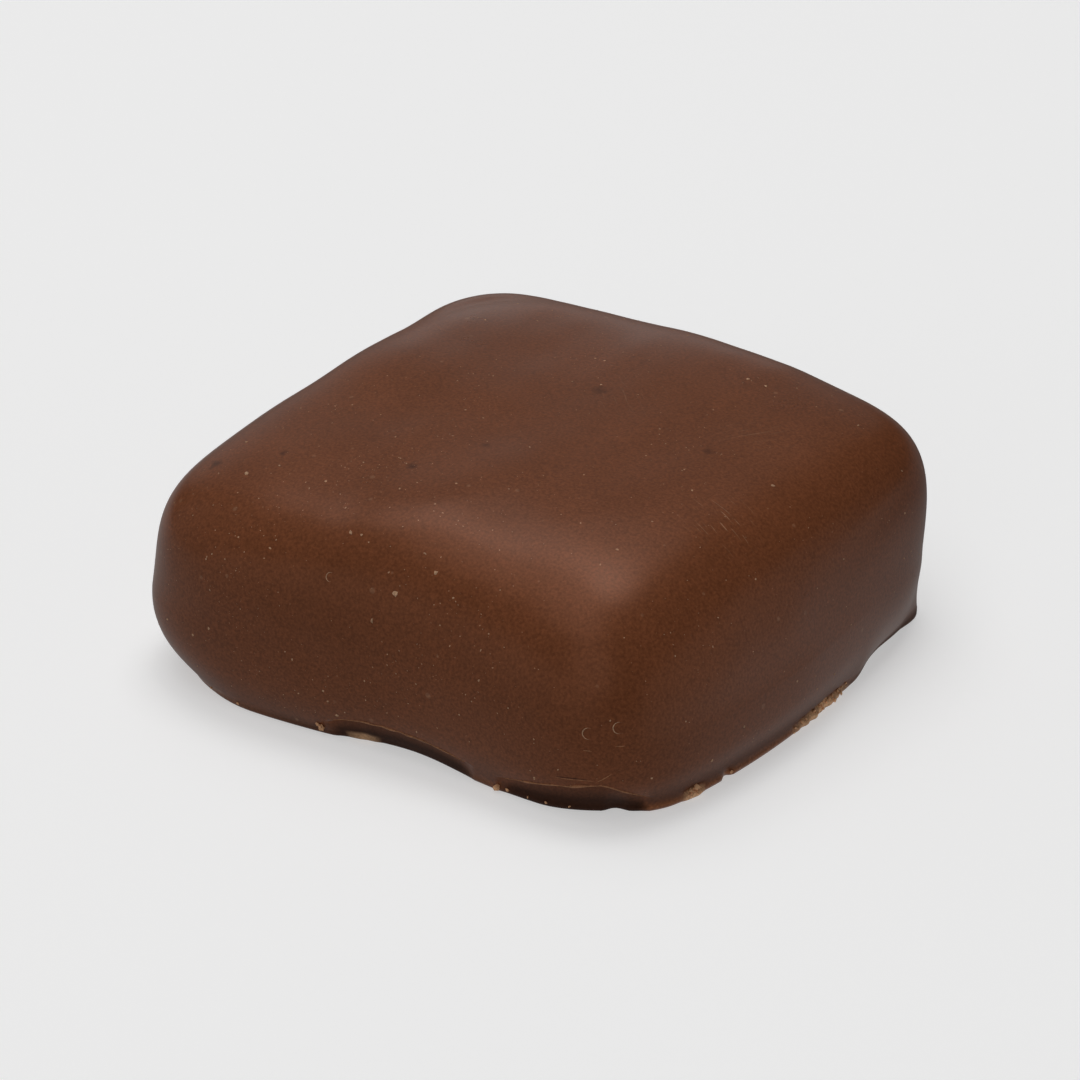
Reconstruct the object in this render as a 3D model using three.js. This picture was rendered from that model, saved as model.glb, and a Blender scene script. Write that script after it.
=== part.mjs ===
// A square marshmallow under a thin coat of milk chocolate, with the wavy, chipped foot that the coat
// leaves round its base. The coat hides the inside, so the whole sweet is one closed body.
// Millimetres, +Z up. The origin is on the surface it stands on, under the middle of its bounding box.
import * as THREE from "three";
import { ParametricGeometry } from "three/addons/geometries/ParametricGeometry.js";

// Driving dimensions, in millimetres where no other unit is named
const HALF_SIDE = 21; // axis to the middle of a straight side
const PLAN_POWER = 5.4; // power of the superellipse seen from above: 2 is a circle, more is squarer
const BELLY_HEIGHT = 5.7; // level of the widest section
const MIDDLE_HEIGHT = 16.5; // top of the sweet on its axis
const FOOT_EDGE_SHARE = 0.85; // share of the foot's inset at the very edge of the base
const RIM_HEIGHT = 0.42; // thickness of the thin rim at the foot
const COVE_TOP = 3.4; // where the cove over the rim runs out into the side
const LIP_HEIGHT = 1.45; // level from which the edges over the chips rise
const LIP_DROP = 0.12; // height of the sharp edge over a chip
const CHIP_FOOT_SHARE = 0.5; // share of a chip's depth that is left at the base

// Sizes that differ from side to side, in the order right, back, left and front, with the corners between
const OUTLINE_BOW = {
  right: 0.2, backRight: -1.15, back: 1, backLeft: 0.75,
  left: -0.25, frontLeft: 0.85, front: -1.05, frontRight: -1.05,
};
const SHOULDER_HEIGHT = {
  right: 15.5, backRight: 16.5, back: 16.3, backLeft: 15.2,
  left: 17.7, frontLeft: 14.7, front: 16.3, frontRight: 16.6,
};
const SIDE_LEAN = {
  right: 0.95, backRight: -0.5, back: 0.15, backLeft: 0.1,
  left: 0.25, frontLeft: 0.5, front: -0.3, frontRight: 0.55,
};
// Powers of the superellipse seen from the side: a high crown keeps the top flat, a high cheek the side
// straight
const CROWN_POWER = {
  right: 7.4, backRight: 4.5, back: 8.4, backLeft: 8.3,
  left: 5, frontLeft: 4.9, front: 6.1, frontRight: 3.5,
};
const CHEEK_POWER = {
  right: 3.05, backRight: 4.3, back: 2.3, backLeft: 3.15,
  left: 3.5, frontLeft: 4, front: 2.3, frontRight: 2.2,
};
// How far the base stands inside the belly where nothing is bitten away
const FOOT_INSET = {
  right: 1.4, backRight: 1.3, back: 1.3, backLeft: 1.7,
  left: 1.5, frontLeft: 1.7, front: 1.75, frontRight: 1.6,
};
// Depth of the cove between the thin rim and the side above it
const COVE_DEPTH = {
  right: 0.2, backRight: 0.05, back: 0.3, backLeft: 0.4,
  left: 0.4, frontLeft: 0.2, front: 0.05, frontRight: 0.22,
};
// A corner of the top that curls up: its direction and half width in degrees, where it lies as a share of
// the way out, and how high it stands
const CURL = { at: 140, halfWidth: 20, share: 0.94, halfShare: 0.14, height: 0.92 };
// Shallow dents in the side: over the corner where the foot flares out, and half way up another corner
const SIDE_DENTS = [
  { at: 44, halfWidth: 12, height: 2.6, halfHeight: 2.2, depth: 0.12 },
  { at: 225, halfWidth: 20, height: 8.3, halfHeight: 4.5, depth: 0.27 },
];

// Where the foot is bitten back, or flares where the depth is negative, by direction in degrees from +X
const FOOT_BITES = [
  { at: 274, halfWidth: 17, depth: 0.5 },
  { at: 315, halfWidth: 11, depth: 0.75 },
  { at: 31, halfWidth: 12, depth: 1.1 },
  { at: 46, halfWidth: 8, depth: -1.3 },
  { at: 105, halfWidth: 16, depth: 0.6 },
  { at: 190, halfWidth: 18, depth: 0.7 },
  { at: 222, halfWidth: 22, depth: 2.3 },
];
// Chips broken out under the coat's lower edge: the direction where the break is highest, its reach either
// way in degrees, its power (1 for a peak, more for a flat arch), its height and its depth
const FOOT_CHIPS = [
  { at: 270.5, before: 10.5, after: 21, power: 2.5, height: 2.2, depth: 0.65 },
  { at: 313.6, before: 16.5, after: 7.5, power: 1.1, height: 3.05, depth: 0.85 },
  { at: 98, before: 13, after: 13, power: 2, height: 2.1, depth: 0.6 },
  { at: 172, before: 12, after: 12, power: 2, height: 2, depth: 0.6 },
];

const STEPS_AROUND = 120;
const MILK_CHOCOLATE = new THREE.MeshStandardMaterial({ color: 0x5f3a28, roughness: 0.42, metalness: 0 });

// A smooth closed curve through one value for each of the eight directions, read at an angle
function around(values, angle) {
  const list = Object.values(values);
  const count = list.length;
  let sum = 0;
  list.forEach((value, i) => {
    const turn = angle - (i * 2 * Math.PI) / count;
    let weight = 1 + Math.cos((count / 2) * turn);
    for (let k = 1; k < count / 2; k += 1) {
      weight += 2 * Math.cos(k * turn);
    }
    sum += (value * weight) / count;
  });
  return sum;
}

// How far an angle is from the middle of a bite or chip: 0 in the middle, 1 at its ends and beyond
function offCentre(angle, { at, halfWidth, before = halfWidth, after = halfWidth }) {
  const turn = THREE.MathUtils.euclideanModulo(THREE.MathUtils.radToDeg(angle) - at + 180, 360) - 180;
  return Math.min(Math.abs(turn) / (turn < 0 ? before : after), 1);
}

// A smooth hump: 1 in the middle, 0 at a distance of 1 and beyond
function hump(distance) {
  return (1 - Math.min(Math.abs(distance), 1) ** 2) ** 2;
}

// The sizes of the upright section that faces one direction
function sectionAt(angle) {
  const cosine = Math.abs(Math.cos(angle));
  const sine = Math.abs(Math.sin(angle));
  const plan = HALF_SIDE * (cosine ** PLAN_POWER + sine ** PLAN_POWER) ** (-1 / PLAN_POWER);
  const section = {
    belly: plan + around(OUTLINE_BOW, angle),
    shoulder: around(SHOULDER_HEIGHT, angle),
    lean: around(SIDE_LEAN, angle),
    crown: around(CROWN_POWER, angle),
    cheek: around(CHEEK_POWER, angle),
    cove: Math.max(around(COVE_DEPTH, angle), 0),
    curl: CURL.height * hump(offCentre(angle, CURL)),
    dents: SIDE_DENTS.map((dent) => dent.depth * hump(offCentre(angle, dent))),
    foot: around(FOOT_INSET, angle),
    lip: LIP_HEIGHT,
    chip: 0,
  };
  for (const bite of FOOT_BITES) {
    section.foot += bite.depth * hump(offCentre(angle, bite));
  }
  for (const chip of FOOT_CHIPS) {
    const share = 1 - offCentre(angle, chip) ** chip.power;
    section.lip = Math.max(section.lip, LIP_HEIGHT + (chip.height - LIP_HEIGHT) * share);
    section.chip = Math.max(section.chip, chip.depth * Math.sqrt(share));
  }
  return section;
}

// How far the dents take the side in at a height
function dentDepth({ dents }, height) {
  const shares = SIDE_DENTS.map((dent) => hump((height - dent.height) / dent.halfHeight));
  return dents.reduce((sum, depth, i) => sum + depth * shares[i], 0);
}

// How far the cove takes the side in at a height: deepest near the rim, and soft where it runs out above
function coveDepth({ cove }, height) {
  const up = THREE.MathUtils.clamp((height - RIM_HEIGHT) / (COVE_TOP - RIM_HEIGHT), 0, 1);
  return cove * Math.sin(Math.PI * up ** 0.45) ** 2;
}

// Below the belly the side tucks in as a quarter of an ellipse
function tuckedRadius(section, height) {
  const below = 1 - height / BELLY_HEIGHT;
  const tuck = section.foot * (1 - Math.sqrt(1 - below * below));
  return section.belly - tuck - dentDepth(section, height) - coveDepth(section, height);
}

// Above the belly the side and the top follow one superellipse, of the width's share against the height's
function upperPoint(section, share, lift) {
  const { belly, shoulder, lean, curl } = section;
  const rise = (shoulder - MIDDLE_HEIGHT) * share ** 2 + curl * hump((share - CURL.share) / CURL.halfShare);
  const height = BELLY_HEIGHT + (MIDDLE_HEIGHT + rise - BELLY_HEIGHT) * lift;
  return [(belly - lean * lift) * share - dentDepth(section, height) * share ** 4, height];
}

// Radius at the very edge of the base
function baseRadius({ belly, foot, chip }) {
  return belly - foot * FOOT_EDGE_SHARE - chip * CHIP_FOOT_SHARE;
}

// The stretches of a section, from the middle of the base round to the middle of the top.
// Each gives a radius and a height for s from 0 to 1.
const STRETCHES = [
  {
    steps: 3,
    point: (section, s) => [baseRadius(section) * s, 0],
  },
  {
    steps: 1,
    point: (section, s) => {
      const rim = tuckedRadius(section, RIM_HEIGHT) - section.chip * CHIP_FOOT_SHARE;
      return [THREE.MathUtils.lerp(baseRadius(section), rim, s), RIM_HEIGHT * s];
    },
  },
  {
    steps: 4,
    point: (section, s) => {
      const height = RIM_HEIGHT + (section.lip - LIP_DROP - RIM_HEIGHT) * s;
      const chip = section.chip * THREE.MathUtils.lerp(CHIP_FOOT_SHARE, 1, s);
      return [tuckedRadius(section, height) - chip, height];
    },
  },
  {
    steps: 1,
    point: (section, s) => {
      const height = section.lip - LIP_DROP * (1 - s);
      return [tuckedRadius(section, height) - section.chip * (1 - s), height];
    },
  },
  {
    steps: 7,
    point: (section, s) => {
      const start = Math.acos(1 - section.lip / BELLY_HEIGHT);
      const height = BELLY_HEIGHT * (1 - Math.cos(start + (Math.PI / 2 - start) * s));
      return [tuckedRadius(section, height), height];
    },
  },
  {
    steps: 10,
    point: (section, s) => {
      const lift = s * 0.5 ** (1 / section.cheek);
      return upperPoint(section, (1 - lift ** section.cheek) ** (1 / section.crown), lift);
    },
  },
  {
    steps: 12,
    point: (section, s) => {
      const share = (1 - s) * 0.5 ** (1 / section.crown);
      return upperPoint(section, share, (1 - share ** section.crown) ** (1 / section.cheek));
    },
  },
];
const STEPS_UP = STRETCHES.reduce((sum, { steps }) => sum + steps, 0);

// A point of the surface: u runs round the sweet, v from the middle of the base to the middle of the top
function coatPoint(u, v, target) {
  const angle = 2 * Math.PI * u;
  let step = v * STEPS_UP;
  let i = 0;
  while (i < STRETCHES.length - 1 && step > STRETCHES[i].steps) {
    step -= STRETCHES[i].steps;
    i += 1;
  }
  const [radius, height] = STRETCHES[i].point(sectionAt(angle), Math.min(step / STRETCHES[i].steps, 1));
  target.set(radius * Math.cos(angle), radius * Math.sin(angle), height);
}

function makeCoat() {
  const geometry = new ParametricGeometry(coatPoint, STEPS_AROUND, STEPS_UP);
  geometry.computeBoundingBox();
  const middle = geometry.boundingBox.getCenter(new THREE.Vector3());
  geometry.translate(-middle.x, -middle.y, 0);
  const coat = new THREE.Mesh(geometry, MILK_CHOCOLATE);
  coat.name = "coated_marshmallow";
  return coat;
}

const sweet = new THREE.Group();
sweet.add(makeCoat());

export default sweet;
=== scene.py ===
import math
from collections import namedtuple
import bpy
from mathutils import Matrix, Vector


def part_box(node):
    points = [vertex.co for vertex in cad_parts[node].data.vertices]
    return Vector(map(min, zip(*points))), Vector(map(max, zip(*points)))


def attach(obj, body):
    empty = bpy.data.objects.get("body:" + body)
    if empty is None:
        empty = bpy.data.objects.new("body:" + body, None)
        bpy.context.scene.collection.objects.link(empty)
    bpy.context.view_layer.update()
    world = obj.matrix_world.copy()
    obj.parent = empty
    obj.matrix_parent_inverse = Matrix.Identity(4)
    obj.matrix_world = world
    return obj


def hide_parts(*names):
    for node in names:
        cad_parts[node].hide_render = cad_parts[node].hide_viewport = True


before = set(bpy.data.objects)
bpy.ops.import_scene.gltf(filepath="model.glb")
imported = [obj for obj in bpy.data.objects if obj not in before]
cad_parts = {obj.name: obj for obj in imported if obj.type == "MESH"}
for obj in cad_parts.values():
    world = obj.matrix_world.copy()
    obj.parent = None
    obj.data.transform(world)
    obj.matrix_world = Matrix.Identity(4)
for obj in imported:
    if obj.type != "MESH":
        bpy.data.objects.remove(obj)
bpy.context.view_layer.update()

from types import SimpleNamespace

import bpy
import numpy as np
from bpy.props import FloatProperty, FloatVectorProperty, IntProperty, PointerProperty
from mathutils import Vector

bl_info = {
    "name": "Coated marshmallow",
    "version": (1, 0, 0),
    "blender": (4, 5, 0),
    "location": "View3D > Sidebar > Sweet",
    "description": "A square marshmallow in a satin coat of milk chocolate, on a plain stage",
    "category": "Object",
}

# The imported solid that the coat stands for, and its body
NODE = "coated_marshmallow"
BODY = "root"
MM = 0.001
FULL_TURN = 2 * np.pi

# Steps of the coat's grid round the sweet and along each stretch of its section
STEPS_AROUND = 580
BASE_STEPS = 4
RIM_STEPS = 4
FOOT_STEPS = 16
LIP_STEPS = 3
TUCK_STEPS = 26
SIDE_STEPS = 52
TOP_STEPS = 56
LIP_RING = BASE_STEPS + RIM_STEPS + FOOT_STEPS + LIP_STEPS
TUBE_STEPS = 8

# Bites out of the foot, and notches in its rim: direction in degrees from +X, half width, and depth in
# millimetres
Bite = namedtuple("Bite", "at half_width depth")
FOOT_BITES = (
    Bite(274, 17, 0.5),
    Bite(315, 11, 0.75),
    Bite(31, 12, 1.1),
    Bite(46, 8, -1.3),
    Bite(105, 16, 0.6),
    Bite(190, 18, 0.7),
    Bite(222, 22, 2.3),
)
RIM_NOTCHES = (
    Bite(316.4, 2.4, 0.4),
    Bite(337.2, 1.6, 0.35),
    Bite(150, 2, 0.35),
    Bite(78, 1.8, 0.3),
)
# Chips under the coat's lower edge: where the break is highest, its reach either way in degrees, its power
# (1 for a peak, more for a flat arch), its height and its depth
Chip = namedtuple("Chip", "at before after power height depth")
FOOT_CHIPS = (
    Chip(270.5, 10.5, 21, 2.5, 2.2, 0.65),
    Chip(313.6, 16.5, 7.5, 1.1, 3.05, 0.85),
    Chip(98, 13, 13, 2, 2.1, 0.6),
    Chip(172, 12, 12, 2, 2.0, 0.6),
)
# Stretches of rim that have crumbled: direction, half width and how far the break goes
CRUMBLED_RIM = ((6, 11, 1), (329.5, 2.5, 1), (265.5, 3.6, 0.5), (200, 9, 1), (120, 8, 1))
# The broken bevel over a crumbled rim: depth, level over the rim and half height, in millimetres
Bevel = namedtuple("Bevel", "depth over half_height")
BEVEL = Bevel(0.25, 0.33, 0.4)
# A corner of the top that curls up, and shallow dents in the side
Curl = namedtuple("Curl", "at half_width share half_share height")
CURL = Curl(140, 20, 0.94, 0.14, 0.92)
Dent = namedtuple("Dent", "at half_width height half_height depth")
SIDE_DENTS = (Dent(44, 12, 2.6, 2.2, 0.12), Dent(225, 20, 8.3, 4.5, 0.27))


def eight_lengths(name, description, millimetres):
    """A length for each of eight directions: right, back right, back, and so on round to front right."""
    return FloatVectorProperty(
        name=name,
        description=description,
        size=8,
        default=tuple(value * MM for value in millimetres),
        unit="LENGTH",
        precision=5,
    )


def eight_numbers(name, description, numbers):
    """A plain number for each of the eight directions."""
    return FloatVectorProperty(name=name, description=description, size=8, default=numbers)


def length(name, description, millimetres):
    """A length property with its default in millimetres."""
    return FloatProperty(
        name=name,
        description=description,
        default=millimetres * MM,
        unit="LENGTH",
        precision=5,
    )


def factor(name, description, value):
    """A property from nothing to one."""
    return FloatProperty(
        name=name, description=description, default=value, min=0, max=1, subtype="FACTOR"
    )


def colour(name, description, value):
    """A linear colour property."""
    return FloatVectorProperty(
        name=name,
        description=description,
        subtype="COLOR",
        size=3,
        min=0,
        max=1,
        default=value,
    )


class CoatSizes(bpy.types.PropertyGroup):
    """Sizes of the coated block."""

    half_side: length("Half side", "Axis to the middle of a straight side", 21)
    plan_power: FloatProperty(
        name="Plan power",
        description="Power of the superellipse seen from above; more is squarer",
        default=5.4,
    )
    belly_height: length("Belly height", "Level of the widest section", 5.7)
    middle_height: length("Middle height", "Top of the sweet on its axis", 16.5)
    foot_edge_share: factor("Foot edge share", "Share of the foot's inset at the very edge of the base", 0.85)
    rim_height: length("Rim height", "Thickness of the thin rim at the foot", 0.42)
    lip_height: length("Lip height", "Where the hollow meets the side", 1.45)
    cove_top: length("Cove top", "Where the cove over the rim runs out into the side", 3.4)
    lip_drop: length("Lip drop", "Height of the sharp edge over a chip", 0.12)
    chip_foot_share: factor("Chip foot share", "Share of a chip's depth that is left at the base", 0.5)
    foot_inset: eight_lengths(
        "Foot inset",
        "How far the base stands inside the belly",
        (1.4, 1.3, 1.3, 1.7, 1.5, 1.7, 1.75, 1.6),
    )
    cove_depth: eight_lengths(
        "Cove depth",
        "Hollow between the rim and the side above it",
        (0.2, 0.05, 0.3, 0.4, 0.4, 0.2, 0.05, 0.22),
    )
    outline_bow: eight_lengths(
        "Outline bow",
        "How far the plan stands out of the superellipse",
        (0.2, -1.15, 1, 0.75, -0.25, 0.85, -1.05, -1.05),
    )
    shoulder_height: eight_lengths(
        "Shoulder height",
        "Height that the section aims at over the side",
        (15.5, 16.5, 16.3, 15.2, 17.7, 14.7, 16.3, 16.6),
    )
    side_lean: eight_lengths(
        "Side lean",
        "How far the side leans in towards the top",
        (0.95, -0.5, 0.15, 0.1, 0.25, 0.5, -0.3, 0.55),
    )
    crown_power: eight_numbers(
        "Crown power",
        "Power of the section along the width; more keeps the top flat",
        (7.4, 4.5, 8.4, 8.3, 5, 4.9, 6.1, 3.5),
    )
    cheek_power: eight_numbers(
        "Cheek power",
        "Power of the section along the height; more keeps the side straight",
        (3.05, 4.3, 2.3, 3.15, 3.5, 4, 2.3, 2.2),
    )
    ripple: length("Ripple", "Height of the soft waves in the coat", 0.035)


class ChocolateLook(bpy.types.PropertyGroup):
    """Colours and gloss of the coat and of what lies on it."""

    brown: colour("Brown", "Milk chocolate of the coat", (0.178, 0.058, 0.0241))
    # Partly painted light: chocolate thinning out to the rim is warmer, and this colour is also paler to
    # stand for the light that the flange catches.
    thin: colour("Thin", "Chocolate where it thins out to the rim", (0.3, 0.115, 0.05))
    # Painted highlight: the pale colour of the sharp edges over the chips and of the hairline cracks stands
    # for the light that the edges catch.
    edge: colour("Edge", "Sharp edges over the chips", (0.34, 0.15, 0.07))
    broken: colour("Broken", "Dry broken chocolate", (0.98, 0.58, 0.32))
    flake: colour("Flake", "Flakes that hang at the foot", (0.7, 0.38, 0.2))
    deep: colour("Deep", "Chocolate in the shade of the chips and pits", (0.02, 0.007, 0.004))
    # Painted shadow: the dark line along the first hairline crack.
    crack: colour("Crack", "Chocolate in the hairline crack", (0.06, 0.02, 0.009))
    dust: colour("Dust", "Specks on the coat", (0.5, 0.3, 0.18))
    sheen: colour("Sheen", "Tint of the gloss", (0.627, 0.315, 0.215))
    gloss: factor("Gloss", "Strength of the gloss", 0.5)
    roughness: factor("Roughness", "Roughness of the unbroken coat", 0.3)
    speck_count: IntProperty(name="Specks", description="Loose specks on the coat", default=2600)
    crumb_count: IntProperty(name="Crumbs", description="Crumbs along the broken rim", default=110)


class StageLook(bpy.types.PropertyGroup):
    """Camera and floor."""

    azimuth: FloatProperty(
        name="Azimuth",
        description="Turn of the camera round the sweet from the front",
        default=math.radians(36.68),
        subtype="ANGLE",
    )
    elevation: FloatProperty(
        name="Elevation",
        description="Height of the camera over the horizon",
        default=math.radians(27.74),
        subtype="ANGLE",
    )
    distance: length("Distance", "Camera to the point that it turns about", 298.57)
    lens: FloatProperty(name="Lens", description="Focal length", default=149.4, unit="CAMERA")
    floor: colour("Floor", "Pale floor", (0.6, 0.6, 0.6))
    floor_glow: factor("Floor glow", "Light from under the floor, as on a light table", 0.45)
    under_glow: factor("Under glow", "Light from the floor on to the sweet", 0.35)
    right_glow: factor("Right glow", "More of it from a wedge of floor at the right", 0.3)


class SweetSettings(bpy.types.PropertyGroup):
    """All that a user would change."""

    coat: PointerProperty(type=CoatSizes)
    chocolate: PointerProperty(type=ChocolateLook)
    stage: PointerProperty(type=StageLook)


def around(values, angle):
    """A smooth closed curve through eight evenly spaced values: each value times the sum of the cosines
    of up to four times the angle from its own direction, which is one there and nothing at the other
    seven."""
    values = np.asarray(values)
    count = len(values)
    turn = np.asarray(angle)[..., None] - np.arange(count) * FULL_TURN / count
    weight = 1 + np.cos(count // 2 * turn)
    for k in range(1, count // 2):
        weight = weight + 2 * np.cos(k * turn)
    return weight @ values / count


def jagged(angle, turns, seed):
    """A rough closed curve about zero: sines of whole numbers of waves round the sweet, with seeded
    phases."""
    draw = np.random.default_rng(seed)
    waves = draw.integers(turns // 2, turns * 2, 9)
    phase = draw.uniform(0, FULL_TURN, 9)
    return np.sin(np.asarray(angle)[..., None] * waves + phase).sum(-1) / 3


def soft_waves(points, wavelength, seed):
    """Smooth unevenness through space about zero: the mean of sines along seeded directions."""
    draw = np.random.default_rng(seed)
    ways = draw.normal(size=(16, 3))
    ways /= np.linalg.norm(ways, axis=1, keepdims=True)
    pace = FULL_TURN / (wavelength * draw.uniform(0.7, 1.6, 16))
    phase = draw.uniform(0, FULL_TURN, 16)
    return np.sin(points @ (ways * pace[:, None]).T + phase).sum(-1) / 4


def grid_normals(points):
    """Unit normals of a grid that closes round its second axis: the step round crossed with the step
    up."""
    step_round = np.roll(points, -1, axis=1) - np.roll(points, 1, axis=1)
    step_up = np.gradient(points, axis=0)
    normals = np.cross(step_round, step_up)
    return normals / np.maximum(np.linalg.norm(normals, axis=-1, keepdims=True), 1e-12)


def hump(distance):
    """One in the middle, falling smoothly to nothing at a distance of one."""
    return (1 - np.clip(np.abs(distance), 0, 1) ** 2) ** 2


def turned_from(angle, at):
    """Degrees from a direction to each angle, between minus and plus a half turn."""
    return (np.degrees(angle) - at + 180) % 360 - 180


def coat_sections(sizes, angle):
    """The sizes of the upright section that faces each angle. The plan is a superellipse with a smooth
    bow added. Bites, notches and dents are humps over the angle, and a chip's edge is one less a power
    of the angle."""
    power = sizes.plan_power
    plan = (np.abs(np.cos(angle)) ** power + np.abs(np.sin(angle)) ** power) ** (-1 / power)
    section = SimpleNamespace(
        belly=sizes.half_side * plan + around(sizes.outline_bow, angle),
        shoulder=around(sizes.shoulder_height, angle),
        lean=around(sizes.side_lean, angle),
        crown=around(sizes.crown_power, angle),
        cheek=around(sizes.cheek_power, angle),
        cove=np.maximum(around(sizes.cove_depth, angle), 0),
        foot=around(sizes.foot_inset, angle),
        curl=CURL.height * MM * hump(turned_from(angle, CURL.at) / CURL.half_width),
        dents=[dent.depth * MM * hump(turned_from(angle, dent.at) / dent.half_width) for dent in SIDE_DENTS],
        notch=np.zeros_like(angle),
        lip=np.full_like(angle, sizes.lip_height),
        chip=np.zeros_like(angle),
        crumbled=np.zeros_like(angle),
    )
    for bite in FOOT_BITES:
        section.foot += bite.depth * MM * hump(turned_from(angle, bite.at) / bite.half_width)
    for bite in RIM_NOTCHES:
        section.notch += bite.depth * MM * hump(turned_from(angle, bite.at) / bite.half_width)
    for chip in FOOT_CHIPS:
        turn = turned_from(angle, chip.at)
        off = np.clip(np.abs(turn) / np.where(turn < 0, chip.before, chip.after), 0, 1)
        share = 1 - off**chip.power
        rough = 0.03 * MM * jagged(angle, 60, 5) * share
        rise = (chip.height * MM - sizes.lip_height) * share + rough
        section.lip = np.maximum(section.lip, sizes.lip_height + rise)
        section.chip = np.maximum(section.chip, chip.depth * MM * np.sqrt(share))
    for at, half_width, share in CRUMBLED_RIM:
        reach = share * np.sqrt(hump(turned_from(angle, at) / half_width))
        section.crumbled = np.maximum(section.crumbled, reach)
    return section


def dented(section, height):
    """How far the dents take the side in at a height."""
    shares = [hump((height / MM - dent.height) / dent.half_height) for dent in SIDE_DENTS]
    return sum(depth * share for depth, share in zip(section.dents, shares))


def cove_share(sizes, height):
    """How deep the cove over the rim is at a height, from nothing to one: a squared sine of a power of
    the height."""
    up = np.clip((height - sizes.rim_height) / (sizes.cove_top - sizes.rim_height), 0, 1)
    return np.sin(np.pi * up**0.45) ** 2


def tucked(sizes, section, height):
    """Radius below the belly: the side tucks in as a quarter of an ellipse down to the foot, less a
    soft cove over the rim, deepest near its lower end."""
    below = 1 - height / sizes.belly_height
    cove = section.cove * cove_share(sizes, height)
    return section.belly - section.foot * (1 - np.sqrt(1 - below * below)) - dented(section, height) - cove


def coat_rings(sizes, section, angle):
    """Radius, height, brokenness, thinness and shade of every ring, from the middle of the base to the
    middle of the top. Over the belly, the share of the width to the crown power and the share of the
    height to the cheek power add up to one."""

    def steps(count):
        return np.linspace(0, 1, count + 1)[1:, None]

    rings = []

    def add(radius, height, broken=0, thin=0, shade=0):
        rings.append(np.stack(np.broadcast_arrays(radius, height, broken, thin, shade)))

    crumble = section.crumbled * jagged(angle, 70, 3) * 0.1 * MM + section.notch
    recess = np.clip(section.chip / (0.35 * MM), 0, 1)
    flange = np.clip(section.cove / (0.2 * MM), 0, 1) * (1 - recess)
    plain = 1 - flange
    chip_foot = section.chip * sizes.chip_foot_share
    edge = section.belly - section.foot * sizes.foot_edge_share - section.notch - chip_foot
    rim = tucked(sizes, section, sizes.rim_height) - crumble - chip_foot
    edge = edge + 0.7 * section.crumbled * (rim - edge)
    # The last two values of each ring are thin and shade. Shade is painted shade: full on the underside and,
    # where no flange stands out, on the rim.
    add(edge * np.linspace(0, 1, BASE_STEPS + 1)[:, None], 0, 0, 0, plain)

    s = steps(RIM_STEPS)
    round_out = np.sin(s * np.pi / 2)
    round_up = 1 - np.cos(s * np.pi / 2)
    broken = section.crumbled * np.clip(2 * s, 0, 1)
    add(edge + (rim - edge) * round_out, sizes.rim_height * round_up, broken, flange * s, plain)

    s = steps(FOOT_STEPS)
    height = sizes.rim_height + (section.lip - sizes.lip_drop - sizes.rim_height) * s
    over = (height - sizes.rim_height) / MM - BEVEL.over
    bevel = section.crumbled * BEVEL.depth * MM * hump(over / BEVEL.half_height) * (1 - recess)
    hollow = crumble * (1 - s) ** 2 + bevel + chip_foot + (section.chip - chip_foot) * s
    broken = section.crumbled * np.clip(1.3 - (height - sizes.rim_height) / (0.25 * MM), 0, 1)
    # Painted shade in the foot: dark in a chip's hollow and fading up to its lip, darker towards the base
    # where no flange stands out, and a band of it in the cove over the rim.
    shade = np.maximum(recess * np.clip(1.4 - 1.4 * s, 0, 1), plain * (1 - s))
    shade = np.maximum(shade, 0.5 * flange * cove_share(sizes, height))
    add(tucked(sizes, section, height) - hollow, height, broken, flange * np.clip(1 - 2 * s, 0, 1), shade)

    s = steps(LIP_STEPS)
    height = section.lip - sizes.lip_drop * (1 - s)
    # Painted shade in the cove over the rim, here and on up the tuck.
    shade = 0.5 * flange * cove_share(sizes, height)
    add(tucked(sizes, section, height) - section.chip * (1 - s), height, shade=shade)

    start = np.arccos(1 - section.lip / sizes.belly_height)
    s = steps(TUCK_STEPS)
    height = sizes.belly_height * (1 - np.cos(start + (np.pi / 2 - start) * s))
    add(tucked(sizes, section, height), height, shade=0.5 * flange * cove_share(sizes, height))

    lift_side = steps(SIDE_STEPS) * 0.5 ** (1 / section.cheek)
    share_side = (1 - lift_side**section.cheek) ** (1 / section.crown)
    share_top = (1 - steps(TOP_STEPS)) * 0.5 ** (1 / section.crown)
    lift_top = (1 - share_top**section.crown) ** (1 / section.cheek)
    for share, lift in ((share_side, lift_side), (share_top, lift_top)):
        rise = (section.shoulder - sizes.middle_height) * share**2
        rise = rise + section.curl * hump((share - CURL.share) / CURL.half_share)
        height = sizes.belly_height + (sizes.middle_height + rise - sizes.belly_height) * lift
        add((section.belly - section.lean * lift) * share - dented(section, height) * share**4, height)
    return np.concatenate(rings, axis=1)


def coat_surface(sizes):
    """The coat as a grid: points and normals, the broken, thin and shade values of each point, and the
    shift that was added. The rings are carried round the axis, moved so that the box's middle is where
    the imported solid's is, and waved a little along the normals."""
    angle = np.linspace(0, FULL_TURN, STEPS_AROUND, endpoint=False)
    radius, height, broken, thin, shade = coat_rings(sizes, coat_sections(sizes, angle), angle)
    points = np.stack([radius * np.cos(angle), radius * np.sin(angle), height], -1)
    low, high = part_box(NODE)
    flat = points.reshape(-1, 3)
    shift = np.array((low + high) / 2) - (flat.min(0) + flat.max(0)) / 2
    shift[2] = 0
    points += shift
    normals = grid_normals(points)
    fade = np.clip((height - sizes.lip_height) / sizes.belly_height, 0, 1)[..., None]
    pole = np.clip(radius / (0.2 * sizes.half_side), 0, 1)[..., None]
    wave = soft_waves(points, 9 * MM, 11) + 0.35 * soft_waves(points, 4 * MM, 12)
    points = points + normals * fade * pole * sizes.ripple * wave[..., None]
    points[0] = points[0].mean(0)
    points[-1] = points[-1].mean(0)
    return SimpleNamespace(
        points=points,
        normals=grid_normals(points),
        broken=broken,
        thin=thin,
        shade=shade,
        shift=shift,
    )


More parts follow.
